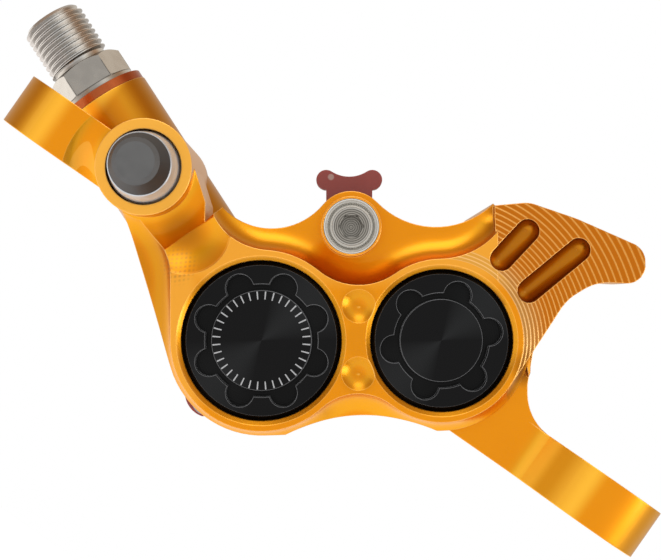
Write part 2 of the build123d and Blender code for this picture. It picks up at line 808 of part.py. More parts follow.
spacer_outline -= disc((0, handle_level + hollow_rise), hollow_radius)
for side in (-1, 1):
    spacer_outline += disc((side * lobe_across, handle_level), handle_lobe)
    spacer_outline = fillet_corner(spacer_outline, (side * neck_half, pin_rise), spacer_eye_top)
eye_half = spacer_eye_width / 2
eye = shape(
    (-eye_half, pin_rise - spacer_eye_low),
    (eye_half, pin_rise - spacer_eye_low),
    (eye_half, pin_rise + spacer_eye_top),
    (-eye_half, pin_rise + spacer_eye_top),
)
spacer_outline -= fillet(eye.vertices(), eye_half * eye_round_share)
spacer_outline -= low_arch(spacer_left, spacer_right, spacer_low, spacer_arch)
spacer = prism(spacer_outline, rotor_level - spacer_thickness / 2, rotor_level + spacer_thickness / 2)
finish("transport_spacer", spacer, Color(0.8, 0.2, 0.2))

# Pad pin with its socket head and dished flange, and the clip in its groove at the back
pin_flange_low = pin_boss_level - pin_mouth_depth + seat_gap
pin = lathe(
    (0, pin_end),
    (pin_radius - clip_groove, pin_end),
    (pin_radius, pin_end + clip_groove),
    (pin_radius, back_recess - clip_thickness - seat_gap * 2),
    (pin_radius - clip_groove, back_recess - clip_thickness - seat_gap * 2),
    (pin_radius - clip_groove, back_recess),
    (pin_radius, back_recess),
    (pin_radius, pin_shoulder + seat_gap),
    (pin_head_radius, pin_shoulder + seat_gap),
    (pin_head_radius, pin_flange_low),
    (pin_mouth_radius - seat_gap, pin_flange_low),
    (pin_mouth_radius - seat_gap, pin_boss_level - pin_dish_edge),
    (pin_mouth_radius - seat_gap - pin_dish_edge, pin_boss_level - pin_dish_edge),
    (pin_head_radius, pin_boss_level - pin_dish_edge - pin_dish_depth),
    (pin_head_radius, pin_shoulder + pin_head_height - clip_groove),
    (pin_head_radius - clip_groove, pin_shoulder + pin_head_height),
    (0, pin_shoulder + pin_head_height),
)
pin = Pos(*pin_place) * pin
socket_floor = pin_shoulder + pin_head_height - pin_socket_depth
pin -= prism(Pos(*pin_place) * hexagon(pin_socket), socket_floor, reach)
finish("pad_pin", pin, Color(0.7, 0.71, 0.73))
clip_hole = pin_radius - clip_groove + seat_gap
clip_low = back_recess - clip_thickness - seat_gap
clip = ring(pin_place, clip_radius, clip_hole, clip_low, clip_low + clip_thickness)
gap_low = pin_rise - clip_gap / 2
clip -= slab(0, reach, gap_low, gap_low + clip_gap, back_level, clip_low + clip_thickness)
finish("pin_clip", clip, Color(0.6, 0.61, 0.63))

# Spring over the pin, beside the neck of the spacer, with a leg down each side of the window
saddle = pin_radius + seat_gap
spring_side = spring_reach - spring_thickness
spring_top = pin_rise + spring_thickness
spring_outline = disc(pin_place, saddle + spring_thickness) + shape(
    (-spring_reach, pin_rise - spring_leg),
    (-spring_reach, spring_top),
    (spring_reach, spring_top),
    (spring_reach, pin_rise - spring_leg),
    (spring_side, pin_rise - spring_leg),
    (spring_side, pin_rise),
    (-spring_side, pin_rise),
    (-spring_side, pin_rise - spring_leg),
)
spring_outline -= disc(pin_place, saddle) + shape(
    (-spring_side, -reach),
    (spring_side, -reach),
    (spring_side, pin_rise),
    (-spring_side, pin_rise),
)
spring_half = plate_face - pad_stroke - spring_clearance
spring = prism(spring_outline, rotor_level - spring_half, rotor_level + spring_half)
neck_room = neck_half + spring_clearance
gap_half = spacer_thickness / 2 + spring_clearance
spring -= slab(-neck_room, neck_room, 0, reach, rotor_level - gap_half, rotor_level + gap_half)
finish("pad_spring", spring, Color(0.66, 0.67, 0.69))

# Bleed screw, hollow, with its rubber cap
screw_top = bleed_seat + screw_neck_rise
screw_end = bleed_seat - screw_thread_length
screw_cone = screw_end - screw_thread_radius + gallery_radius
screw = lathe(
    (gallery_radius, screw_cone + gallery_radius),
    (screw_thread_radius, screw_end),
    (screw_thread_radius, bleed_seat + seat_gap),
    (screw_flare_radius, bleed_seat + seat_gap),
    (screw_flare_radius, bleed_seat + screw_flare_height),
    (screw_neck_radius, screw_top),
    (nipple_radius, screw_top),
    (nipple_radius, screw_top + nipple_rise),
    (gallery_radius, screw_top + nipple_rise),
)
finish("bleed_screw", Pos(*bleed_place) * screw, Color(0.62, 0.6, 0.57))
cap_low = screw_top + seat_gap
cap_high = screw_top + rubber_cap_height
rubber = lathe(
    (nipple_radius + seat_gap, cap_low),
    (cap_base_radius, cap_low),
    (cap_top_radius, cap_high - rubber_cap_round),
    (cap_top_radius - rubber_cap_round, cap_high),
    (0, cap_high),
    (0, screw_top + nipple_rise + seat_gap),
    (nipple_radius + seat_gap, screw_top + nipple_rise + seat_gap),
)
finish("bleed_cap", Pos(*bleed_place) * rubber, Color(0.35, 0.36, 0.37))

# Hose connector, screwed into its port over a copper washer
washer_hole = connector_thread_radius + seat_gap
washer = ring((0, 0), washer_radius, washer_hole, port_reach + seat_gap, port_reach + washer_thickness)
finish("copper_washer", port_plane * washer, Color(0.72, 0.38, 0.2))
collar_low = port_reach + washer_thickness + seat_gap
hex_low = collar_low + connector_collar_height
hex_high = hex_low + connector_hex_height
neck_high = hex_high + connector_neck_length
connector_end = neck_high + connector_thread_length
connector = lathe(
    (connector_bore_radius, collar_low - hose_stub_length),
    (connector_thread_radius, collar_low - hose_stub_length),
    (connector_thread_radius, collar_low),
    (connector_collar_radius, collar_low),
    (connector_collar_radius, hex_low),
    (connector_bore_radius, hex_low),
)
nut = Rot(0, 0, connector_hex_turn) * prism(hexagon(connector_hex), hex_low, hex_high)
nut = nut & lathe(
    (0, hex_low),
    (connector_hex / 2, hex_low),
    (connector_hex, hex_low + connector_hex / 2),
    (connector_hex, hex_high - connector_hex / 2 + connector_chamfer),
    (connector_hex / 2 + connector_chamfer, hex_high),
    (0, hex_high),
)
connector += nut
connector += lathe(
    (0, hex_high),
    (connector_neck_radius, hex_high),
    (connector_neck_radius, neck_high),
    (connector_thread_radius, neck_high),
    (connector_thread_radius, connector_end - connector_chamfer),
    (connector_thread_radius - connector_chamfer, connector_end),
    (0, connector_end),
)
connector -= post((0, 0), connector_bore_radius, 0, connector_end + overrun)
connector -= post((0, 0), connector_seat_radius, neck_high, connector_end + overrun)
finish("hose_connector", port_plane * connector, Color(0.7, 0.71, 0.73))
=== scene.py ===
from math import ceil, cos, pi, radians, sin

import bmesh
import bpy
from mathutils import Matrix, Vector


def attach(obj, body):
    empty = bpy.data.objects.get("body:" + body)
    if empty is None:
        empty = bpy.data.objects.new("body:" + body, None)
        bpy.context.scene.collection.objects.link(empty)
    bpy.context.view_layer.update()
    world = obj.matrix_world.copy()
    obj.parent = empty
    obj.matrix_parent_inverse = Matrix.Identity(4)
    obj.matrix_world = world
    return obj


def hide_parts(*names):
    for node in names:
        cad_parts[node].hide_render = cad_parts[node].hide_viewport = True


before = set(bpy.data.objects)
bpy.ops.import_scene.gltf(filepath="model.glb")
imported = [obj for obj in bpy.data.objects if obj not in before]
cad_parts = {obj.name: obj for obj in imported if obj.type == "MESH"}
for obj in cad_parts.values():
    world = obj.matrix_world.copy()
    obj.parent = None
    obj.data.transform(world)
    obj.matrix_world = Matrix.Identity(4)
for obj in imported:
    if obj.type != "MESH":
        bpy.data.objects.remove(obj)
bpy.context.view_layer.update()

# Caliper body
# One piece milled from aluminium bar and then anodised orange. Its flat faces are deep in colour, the coves
# and flanks keep fine marks of the cutter, and edges catch the light as a thin pale line.
mm = 0.001
lean = radians(34.9)
middle = Vector((3.3, 0, 2.1)) * mm
bore_row = Vector((cos(lean), 0, sin(lean)))
bore_rise = Vector((-sin(lean), 0, cos(lean)))


def on_face(along, up):
    """A place in the plane of the bolts, by its mm along the row of bores and square to it."""
    return middle + (bore_row * along + bore_rise * up) * mm


def shade(value):
    """Linear colour of an sRGB hex value."""
    parts = [int(value[i : i + 2], 16) / 255 for i in (0, 2, 4)]
    return [p / 12.92 if p <= 0.04045 else ((p + 0.055) / 1.055) ** 2.4 for p in parts] + [1.0]


def fill(made, links):
    """Fills inputs with values, or links them to a socket or to the first working output of a node."""
    for socket, value in links.items():
        if isinstance(value, bpy.types.Node):
            value = next(output for output in value.outputs if output.enabled)
        if isinstance(value, bpy.types.NodeSocket):
            made.id_data.links.new(value, made.inputs[socket])
        else:
            made.inputs[socket].default_value = value


def node(material, kind, links=(), **settings):
    """A new node with its settings and filled inputs. Inputs 6 and 7 of a colour Mix are its two colours."""
    made = material.node_tree.nodes.new(kind)
    for name, value in settings.items():
        setattr(made, name, value)
    fill(made, dict(links))
    return made


def finish_named(name, links):
    """A material with the plain sockets of its shader filled, and that shader."""
    material = bpy.data.materials.new(name)
    material.use_nodes = True
    shader = material.node_tree.nodes["Principled BSDF"]
    fill(shader, links)
    return material, shader


def dress(material, *names):
    """Gives the material to CAD nodes."""
    for name in names:
        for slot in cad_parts[name].material_slots:
            slot.material = material


def reach_from(material, point, centre):
    """How far a point lies from a centre, seen square to the outer face."""
    links = {"Vector": point, "Location": -centre, "Scale": (1, 0, 1)}
    level = node(material, "ShaderNodeMapping", links)
    return node(material, "ShaderNodeVectorMath", {0: level}, operation="LENGTH")


def turn_of(material, rounded):
    """1 where a normal rounded over the edges is still the face's own, and less where it is turned."""
    face = node(material, "ShaderNodeNewGeometry").outputs["True Normal"]
    return node(material, "ShaderNodeVectorMath", {0: rounded, 1: face}, operation="DOT_PRODUCT")


large_bore = on_face(-10.15, 0)
small_bore = on_face(10.15, 0)
anodised, anodised_shader = finish_named(
    "anodised_orange_milled_aluminium",
    {"Metallic": 1.0, "Coat Weight": 0.15, "Coat Roughness": 0.1},
)
spot = node(anodised, "ShaderNodeTexCoord")
point = spot.outputs["Object"]
place = node(anodised, "ShaderNodeSeparateXYZ", {0: point})
depth = place.outputs["Y"]
facing = node(anodised, "ShaderNodeSeparateXYZ", {0: spot.outputs["Normal"]})
outer_face = node(
    anodised,
    "ShaderNodeMapRange",
    {0: facing.outputs["Y"], 1: -0.90, 2: -0.995, 3: 0.0, 4: 1.0},
    interpolation_type="SMOOTHSTEP",
)
from_middle = node(anodised, "ShaderNodeMapping", {"Vector": point, "Location": -middle})
along = node(anodised, "ShaderNodeVectorMath", {0: from_middle, 1: bore_row}, operation="DOT_PRODUCT")
rise = node(anodised, "ShaderNodeVectorMath", {0: from_middle, 1: bore_rise}, operation="DOT_PRODUCT")
# Painted highlights: pale lines at the edges of the tail's steps, where their rounded edges catch the light.
# The steps widen from 0.4 mm at the small bore to 0.85 mm at the tip. The same sizes as in the solid, in mm,
# give each line its place.
first_step, last_step, stair_start, stair_run, stair_drop = 0.4, 0.85, 9.2, 16.3, 3.6
stair_count = ceil(2 * stair_run / (first_step + last_step))
widening = (last_step - first_step) / (2 * stair_count)
starting = first_step - widening
small_reach = reach_from(anodised, point, small_bore)
out = node(
    anodised,
    "ShaderNodeMath",
    {0: small_reach, 1: 1 / mm, 2: -stair_start},
    operation="MULTIPLY_ADD",
)
inner = node(
    anodised,
    "ShaderNodeMath",
    {0: out, 1: 4 * widening, 2: starting**2},
    operation="MULTIPLY_ADD",
)
root = node(anodised, "ShaderNodeMath", {0: inner}, operation="SQRT")
step = node(
    anodised,
    "ShaderNodeMath",
    {0: root, 1: 1 / (2 * widening), 2: -starting / (2 * widening)},
    operation="MULTIPLY_ADD",
)
to_edge = node(anodised, "ShaderNodeMath", {0: step, 1: 0.5}, operation="PINGPONG")
step_highlight = node(
    anodised,
    "ShaderNodeMapRange",
    {0: to_edge, 1: 0.06, 2: 0.24, 3: 1.0, 4: 0.0},
    interpolation_type="SMOOTHSTEP",
)
# The lines stay on the steps themselves, and out of the slots and the rim of the bore
front = -6.5 * mm
slope = stair_drop / stair_run * mm
stair_level = node(anodised, "ShaderNodeMath", {0: out, 1: slope, 2: front}, operation="MULTIPLY_ADD")
tail = node(anodised, "ShaderNodeMath", {0: depth, 1: stair_level, 2: 0.3 * mm}, operation="COMPARE")
on_tail = node(anodised, "ShaderNodeMath", {0: along, 1: 10.5 * mm}, operation="GREATER_THAN")
past_rim = node(anodised, "ShaderNodeMath", {0: small_reach, 1: 9.22 * mm}, operation="GREATER_THAN")
for mask in (on_tail, past_rim, outer_face):
    tail = node(anodised, "ShaderNodeMath", {0: tail, 1: mask}, operation="MULTIPLY")
near_bore = node(
    anodised,
    "ShaderNodeMapRange",
    {0: small_reach, 1: 9.2 * mm, 2: 12.5 * mm, 3: 1.0, 4: 0.0},
    interpolation_type="SMOOTHSTEP",
)
# Crossed marks left on the neck, 0.5 mm apart, where two passes of the cutter met. A wave texture repeats
# once in wave_turn divided by its scale.
wave_turn = 0.314
crossed = []
for turn in (0.55, -0.85):
    turned = node(anodised, "ShaderNodeMapping", {"Vector": point, "Rotation": (0, turn, 0)})
    passes = node(
        anodised,
        "ShaderNodeTexWave",
        {"Vector": turned, "Scale": wave_turn / (0.5 * mm), "Distortion": 1.5, "Detail": 1.0},
        wave_type="BANDS",
        bands_direction="X",
    )
    crossed.append(passes.outputs["Fac"])
on_neck = node(
    anodised,
    "ShaderNodeMapRange",
    {0: reach_from(anodised, point, on_face(-19.5, 8.5)), 1: 1.2 * mm, 2: 2.6 * mm, 3: 0.7, 4: 0.0},
    interpolation_type="SMOOTHSTEP",
)
neck_marks = on_neck
for mask in crossed:
    neck_marks = node(anodised, "ShaderNodeMath", {0: neck_marks, 1: mask}, operation="MULTIPLY")
# Painted highlight: the front face is paler left of the large bore and above both bores, where it mirrors
# the bright room, and so is the face of the boss
at_front = node(anodised, "ShaderNodeMath", {0: depth, 1: front, 2: 0.2 * mm}, operation="COMPARE")
left_flat = node(
    anodised,
    "ShaderNodeMapRange",
    {0: along, 1: -16.0 * mm, 2: -18.5 * mm, 3: 0.0, 4: 0.6},
    interpolation_type="SMOOTHSTEP",
)
below_neck = node(anodised, "ShaderNodeMapRange", {0: rise, 1: 9.0 * mm, 2: 7.0 * mm, 3: 0.0, 4: 1.0})
left_flat = node(anodised, "ShaderNodeMath", {0: left_flat, 1: below_neck}, operation="MULTIPLY")
above_bores = node(anodised, "ShaderNodeMapRange", {0: rise, 1: 5.5 * mm, 2: 7.8 * mm, 3: 0.0, 4: 0.55})
front_highlight = node(anodised, "ShaderNodeMath", {0: left_flat, 1: above_bores}, operation="MAXIMUM")
front_highlight = node(anodised, "ShaderNodeMath", {0: front_highlight, 1: at_front}, operation="MULTIPLY")
boss_reach = reach_from(anodised, point, on_face(-23.2, 19.4))
boss_highlight = node(anodised, "ShaderNodeMath", {0: boss_reach, 1: 5.5 * mm}, operation="LESS_THAN")
boss_highlight = node(anodised, "ShaderNodeMath", {0: boss_highlight, 1: outer_face}, operation="MULTIPLY")
pale_highlight = node(anodised, "ShaderNodeMath", {0: front_highlight, 1: boss_highlight}, operation="MAXIMUM")
# Painted shade: a darker tone, on the outboard side only, where shade falls on the low flank left of the
# large bore, in the saddle between boss and bore, on the web between the bores with its scallops, and on the
# heel of the tail
painted_shade = node(anodised, "ShaderNodeMapRange", {0: along, 1: -20.3 * mm, 2: -21.5 * mm, 3: 0.0, 4: 0.34})
below_boss = node(anodised, "ShaderNodeMapRange", {0: rise, 1: 13.5 * mm, 2: 10.5 * mm, 3: 0.0, 4: 1.0})
painted_shade = node(anodised, "ShaderNodeMath", {0: painted_shade, 1: below_boss}, operation="MULTIPLY")
for centre, inside, outside, strength in (
    (on_face(-19.2, 12.3), 0.8, 3.6, 0.55),
    (on_face(0.8, 4.0), 1.2, 2.8, 0.22),
    (on_face(0.8, 0.0), 1.2, 2.8, 0.12),
    (on_face(0.8, -3.8), 1.2, 2.8, 0.22),
    (on_face(20.2, -3.1), 1.2, 2.8, 0.7),
):
    shade_patch = node(
        anodised,
        "ShaderNodeMapRange",
        {0: reach_from(anodised, point, centre), 1: inside * mm, 2: outside * mm, 3: strength, 4: 0.0},
        interpolation_type="SMOOTHSTEP",
    )
    painted_shade = node(anodised, "ShaderNodeMath", {0: painted_shade, 1: shade_patch}, operation="MAXIMUM")
outboard = node(anodised, "ShaderNodeMapRange", {0: depth, 1: 1.0 * mm, 2: 3.0 * mm, 3: 1.0, 4: 0.0})
painted_shade = node(anodised, "ShaderNodeMath", {0: painted_shade, 1: outboard}, operation="MULTIPLY")
# The painted shade also fills the slots of the tail, from 0.3 mm below the steps down to 0.5 mm past the
# line of the bolts
below_stair = node(anodised, "ShaderNodeMath", {0: depth, 1: stair_level}, operation="SUBTRACT")
slot_shade = node(anodised, "ShaderNodeMapRange", {0: below_stair, 1: 0.3 * mm, 2: 0.7 * mm, 3: 0.0, 4: 0.6})
past_root = node(anodised, "ShaderNodeMapRange", {0: along, 1: 15.0 * mm, 2: 16.6 * mm, 3: 0.0, 4: 1.0})
shallow = node(anodised, "ShaderNodeMath", {0: depth, 1: 0.5 * mm}, operation="LESS_THAN")
above_arm = node(anodised, "ShaderNodeMath", {0: rise, 1: 4.0 * mm}, operation="GREATER_THAN")
for mask in (past_root, shallow, above_arm):
    slot_shade = node(anodised, "ShaderNodeMath", {0: slot_shade, 1: mask}, operation="MULTIPLY")
# And the painted shade goes round the boss of the hose port, which points 123 degrees from the row of bores
port_way = radians(123)
port_axis = bore_row * cos(port_way) + bore_rise * sin(port_way)
port_side = bore_rise * cos(port_way) - bore_row * sin(port_way)
port_place = on_face(-23.955, 18.910) + Vector((0, 15.5, 0)) * mm
from_port = node(anodised, "ShaderNodeMapping", {"Vector": point, "Location": -port_place})
off_port = node(anodised, "ShaderNodeVectorMath", {0: from_port, 1: port_axis}, operation="CROSS_PRODUCT")
port_reach = node(anodised, "ShaderNodeVectorMath", {0: off_port}, operation="LENGTH")
port_shade = node(anodised, "ShaderNodeMapRange", {0: port_reach, 1: 6.1 * mm, 2: 6.4 * mm, 3: 0.42, 4: 0.0})
for mask in (slot_shade, port_shade):
    painted_shade = node(anodised, "ShaderNodeMath", {0: painted_shade, 1: mask}, operation="MAXIMUM")
# Painted highlights: across each ear run bright bands up to 4 mm wide, where the ears catch the light
sideward = place.outputs["X"]
ear_highlights = []
on_ears = node(anodised, "ShaderNodeMath", {0: depth, 1: 13.5 * mm}, operation="LESS_THAN")
for band_middle, half_width in ((-39.5, 2.6), (28.7, 1.8), (33.5, 2.4), (42.4, 2.2)):
    off_band = node(anodised, "ShaderNodeMath", {0: sideward, 1: band_middle * mm}, operation="SUBTRACT")
    off_band = node(anodised, "ShaderNodeMath", {0: off_band}, operation="ABSOLUTE")
    ear_highlight = node(
        anodised,
        "ShaderNodeMapRange",
        {0: off_band, 1: 0.6 * mm, 2: half_width * mm, 3: 0.75, 4: 0.0},
        interpolation_type="SMOOTHSTEP",
    )
    ear_highlights.append(node(anodised, "ShaderNodeMath", {0: ear_highlight, 1: on_ears}, operation="MULTIPLY"))
# Edges are broken by 0.2 mm, so that they catch the light. A pale line is painted along them too, partly
# thin, worn dye and partly painted highlight
edge = node(anodised, "ShaderNodeBevel", {"Radius": 0.2 * mm}, samples=8)
edge_turn = turn_of(anodised, edge)
edge_wear_and_highlight = node(anodised, "ShaderNodeMapRange", {0: edge_turn, 1: 0.98, 2: 0.88, 3: 0.0, 4: 0.75})
# The dye is cloudy over 11 mm. The outer face, the flanks, the steps and the steps near the bore have two
# tones each. The flanks' yellower tone is painted light: it offsets the red that light takes on as it
# bounces in the coves.
clouds = {"Vector": point, "Scale": 1 / (11.1 * mm), "Detail": 4.0}
cloudy = node(anodised, "ShaderNodeTexNoise", clouds)
tones = []
for mask, first, second in (
    (cloudy, "DC860A", "E6920F"),
    (cloudy, "D89418", "E4A01E"),
    (step_highlight, "BA6606", "D6913A"),
    (step_highlight, "B8803C", "F0CC98"),
):
    ends = {"Factor": mask, 6: shade(first), 7: shade(second)}
    tones.append(node(anodised, "ShaderNodeMix", ends, data_type="RGBA"))
deep, flank_painted_tone, step_tone_and_highlight, bunched_step_highlight = tones
# The flanks and coves take the tone painted to offset bounced light, and the outer face takes its own
tint = node(anodised, "ShaderNodeMix", {"Factor": outer_face, 6: flank_painted_tone, 7: deep}, data_type="RGBA")
# The steps take a darker tone with the painted highlight lines, which are paler still near the bore
step_tone_and_highlight = node(anodised, "ShaderNodeMix", {"Factor": near_bore, 6: step_tone_and_highlight, 7: bunched_step_highlight}, data_type="RGBA")
tint = node(anodised, "ShaderNodeMix", {"Factor": tail, 6: tint, 7: step_tone_and_highlight}, data_type="RGBA")
# Over the tone lie, in turn: painted highlights on the front and the boss, the marks of the neck, painted
# shade in the hollows, painted highlights across the ears, and a pale line on the edges, partly worn dye and
# partly painted highlight
for mask, tone in (
    (pale_highlight, "F0AE42"),
    (neck_marks, "B47C34"),
    (painted_shade, "8A5008"),
    *((ear_highlight, "FFC23C") for ear_highlight in ear_highlights),
    (edge_wear_and_highlight, "F6C474"),
):
    tint = node(anodised, "ShaderNodeMix", {"Factor": mask, 6: tint, 7: shade(tone)}, data_type="RGBA")
rough = node(anodised, "ShaderNodeMapRange", {0: outer_face, 1: 0.0, 2: 1.0, 3: 0.34, 4: 0.38})
# Straight marks 0.5 mm apart on flanks and coves, along the edges that the cutter followed, and a grain of
# 0.24 mm over everything
straight = node(
    anodised,
    "ShaderNodeTexWave",
    {"Vector": point, "Scale": wave_turn / (0.5 * mm), "Distortion": 0.4, "Detail": 1.0},
    wave_type="BANDS",
    bands_direction="Y",
)
side_marks = node(anodised, "ShaderNodeMix", {"Factor": outer_face, 2: straight.outputs["Fac"], 3: 0.0})
side_marks = node(anodised, "ShaderNodeMath", {0: side_marks, 1: 0.03}, operation="MULTIPLY")
marks = node(
    anodised,
    "ShaderNodeMath",
    {0: neck_marks, 1: 0.06, 2: side_marks},
    operation="MULTIPLY_ADD",
)
grain = node(anodised, "ShaderNodeTexNoise", {"Vector": point, "Scale": 1 / (0.238 * mm), "Detail": 2.0})
fine = node(
    anodised,
    "ShaderNodeBump",
    {"Height": grain, "Strength": 0.1, "Distance": 0.02 * mm, "Normal": edge},
)
milled = node(
    anodised,
    "ShaderNodeBump",
    {"Height": marks, "Strength": 0.5, "Distance": 0.05 * mm, "Normal": fine},
)
fill(anodised_shader, {"Base Color": tint, "Roughness": rough, "Normal": milled})
dress(anodised, "body")

# Caps of the bores
# Turned from aluminium bar with a lobed recess for the tool, anodised black and screwed in against a rubber
# ring. The middle disc of the large one has fine ticks marked all round it.
black, black_shader = finish_named("anodised_black_turned_aluminium", {"Metallic": 0.8})
point = node(black, "ShaderNodeTexCoord").outputs["Object"]
from_middle = node(black, "ShaderNodeMapping", {"Vector": point, "Location": -middle})
across = node(black, "ShaderNodeVectorMath", {0: from_middle, 1: bore_row}, operation="DOT_PRODUCT")
on_small = node(black, "ShaderNodeMath", {0: across, 1: 0.0}, operation="GREATER_THAN")
from_large = node(black, "ShaderNodeMapping", {"Vector": point, "Location": -large_bore})
from_small = node(black, "ShaderNodeMapping", {"Vector": point, "Location": -small_bore})
centred = node(
    black,
    "ShaderNodeMix",
    {"Factor": on_small, 4: from_large, 5: from_small},
    data_type="VECTOR",
)
apart = node(black, "ShaderNodeSeparateXYZ", {0: centred})
heading = node(
    black,
    "ShaderNodeMath",
    {0: apart.outputs["Z"], 1: apart.outputs["X"]},
    operation="ARCTAN2",
)
# The lathe left rings 0.25 mm apart, which make the black satin
lathe_rings = node(
    black,
    "ShaderNodeTexWave",
    {"Vector": centred, "Scale": wave_turn / (0.25 * mm), "Distortion": 0.3},
    wave_type="RINGS",
    rings_direction="Y",
).outputs["Fac"]
satin = node(black, "ShaderNodeMapRange", {0: lathe_rings, 1: 0.0, 2: 1.0, 3: 0.24, 4: 0.36})
lathed = node(black, "ShaderNodeBump", {"Height": lathe_rings, "Strength": 0.2, "Distance": 0.02 * mm})
# Painted sheen: two opposite wedges of the turned face are painted lighter, where turning makes it mirror
# the light, and painted shade makes the recess darker
double = node(black, "ShaderNodeMath", {0: heading, 1: 2.0, 2: -2.6}, operation="MULTIPLY_ADD")
wedge = node(black, "ShaderNodeMath", {0: double}, operation="COSINE")
wedge_sheen = node(black, "ShaderNodeMapRange", {0: wedge, 1: 0.2, 2: 1.0, 3: 0.0, 4: 1.0})
below = node(black, "ShaderNodeSeparateXYZ", {0: point}).outputs["Y"]
recess_shade = node(black, "ShaderNodeMapRange", {0: below, 1: -5.6 * mm, 2: -5.0 * mm, 3: 0.0, 4: 0.75})
# Ticks every 10 degrees, 0.9 mm long and 0.14 mm wide, near the rim of the large cap's middle disc
tick = node(black, "ShaderNodeMath", {0: heading, 1: radians(10) / 2}, operation="PINGPONG")
tick = node(black, "ShaderNodeMath", {0: tick, 1: 0.014}, operation="LESS_THAN")
radius = reach_from(black, point, large_bore)
tick_ring = node(black, "ShaderNodeMath", {0: radius, 1: 5.1 * mm, 2: 0.45 * mm}, operation="COMPARE")
for mask in (tick_ring, 0.75):
    tick = node(black, "ShaderNodeMath", {0: tick, 1: mask}, operation="MULTIPLY")
# A thin grey line is painted along the edges of the recess, partly dye worn thin and partly painted
# highlight
rim_turn = turn_of(black, node(black, "ShaderNodeBevel", {"Radius": 0.13 * mm}, samples=8))
rim_wear_and_highlight = node(black, "ShaderNodeMapRange", {0: rim_turn, 1: 0.985, 2: 0.88, 3: 0.0, 4: 0.8})
# Over the black lie the painted sheen of the wedges, the painted shade of the recess, the ticks and the grey
# line on the edges
dye = shade("0B0B0C")
for mask, tone in ((wedge_sheen, "1E1F20"), (recess_shade, "060606"), (tick, "C4C6C8"), (rim_wear_and_highlight, "7C7D7F")):
    dye = node(black, "ShaderNodeMix", {"Factor": mask, 6: dye, 7: shade(tone)}, data_type="RGBA")
fill(black_shader, {"Base Color": dye, "Roughness": satin, "Normal": lathed})
dress(black, "cap_large", "cap_small")

# Rubber rings and seals
# Square-cut and round rings of black nitrile rubber, moulded, wiped with brake fluid as they are fitted, so
# they have a low sheen over specks of 0.4 mm.


def mottle(material, point, size, detail, first, second):
    """A noise pattern whose patches are of that size in mm, and two tones mixed by it."""
    links = {"Vector": point, "Scale": 1 / (size * mm), "Detail": detail}
    pattern = node(material, "ShaderNodeTexNoise", links)
    ends = {"Factor": pattern, 6: shade(first), 7: shade(second)}
    return pattern, node(material, "ShaderNodeMix", ends, data_type="RGBA")


nitrile, nitrile_shader = finish_named("moulded_nitrile_rubber", {"Roughness": 0.45})
point = node(nitrile, "ShaderNodeTexCoord").outputs["Object"]
speck, ink = mottle(nitrile, point, 0.4, 3.0, "151515", "262626")
skin = node(nitrile, "ShaderNodeBump", {"Height": speck, "Strength": 0.2, "Distance": 0.02 * mm})
fill(nitrile_shader, {"Base Color": ink, "Normal": skin})
dress(nitrile, "o_ring_large", "o_ring_small")
for kind in ("pressure_seal", "dust_seal"):
    for size in ("large", "small"):
        dress(nitrile, f"{kind}_{size}_outboard", f"{kind}_{size}_inboard")

# Pistons, spring, clip and backing plates
# The first three are turned or bent from stainless steel, grey with a soft grain of 0.7 mm that breaks the
# highlights into streaks. The plates are stamped from plain steel, and brushed along their length.
stainless, stainless_shader = finish_named("turned_stainless_steel", {"Metallic": 1.0})
point = node(stainless, "ShaderNodeTexCoord").outputs["Object"]
streaks, steel_tone = mottle(stainless, point, 0.714, 4.0, "B4B2AC", "D2D0CA")
polish = node(stainless, "ShaderNodeMapRange", {0: streaks, 1: 0.3, 2: 0.7, 3: 0.18, 4: 0.28})
scratched = node(stainless, "ShaderNodeBump", {"Height": streaks, "Strength": 0.12, "Distance": 0.02 * mm})
fill(stainless_shader, {"Base Color": steel_tone, "Roughness": polish, "Normal": scratched})
dress(stainless, "pin_clip", "pad_spring")
for size in ("large", "small"):
    dress(stainless, f"piston_{size}_outboard", f"piston_{size}_inboard")

plate_steel, plate_shader = finish_named("stamped_steel_plate", {"Metallic": 1.0, "Roughness": 0.4})
point = node(plate_steel, "ShaderNodeTexCoord").outputs["Object"]
stretched = node(plate_steel, "ShaderNodeMapping", {"Vector": point, "Scale": (1, 1, 12)})
brushed, plate_tone = mottle(plate_steel, stretched, 1.67, 3.0, "84868A", "B4B6B9")
grained = node(plate_steel, "ShaderNodeBump", {"Height": brushed, "Strength": 0.2, "Distance": 0.03 * mm})
fill(plate_shader, {"Base Color": plate_tone, "Normal": grained})
dress(plate_steel, "pad_plate_outboard", "pad_plate_inboard")

# Friction blocks
# Metal flakes and fibre pressed in resin and baked on the plates. Dull brown-grey flakes of 0.6 mm, some of
# them bright copper, with dark pits between them.
compound, compound_shader = finish_named("pressed_friction_compound", {"Roughness": 0.85})
point = node(compound, "ShaderNodeTexCoord").outputs["Object"]
flakes = node(compound, "ShaderNodeTexVoronoi", {"Vector": point, "Scale": 1 / (0.6 * mm)})
lot = node(compound, "ShaderNodeSeparateColor", {0: flakes.outputs["Color"]})
is_copper = node(compound, "ShaderNodeMath", {0: lot.outputs["Red"], 1: 0.86}, operation="GREATER_THAN")
mixed = shade("3A312C")
for mask, tone in ((lot.outputs["Green"], "5E5148"), (is_copper, "A8744A")):
    mixed = node(compound, "ShaderNodeMix", {"Factor": mask, 6: mixed, 7: shade(tone)}, data_type="RGBA")
pits = {"Height": flakes.outputs["Distance"], "Strength": 0.5, "Distance": 0.08 * mm}
gritty = node(compound, "ShaderNodeBump", pits)
fill(compound_shader, {"Base Color": mixed, "Normal": gritty})
dress(compound, "friction_outboard", "friction_inboard")

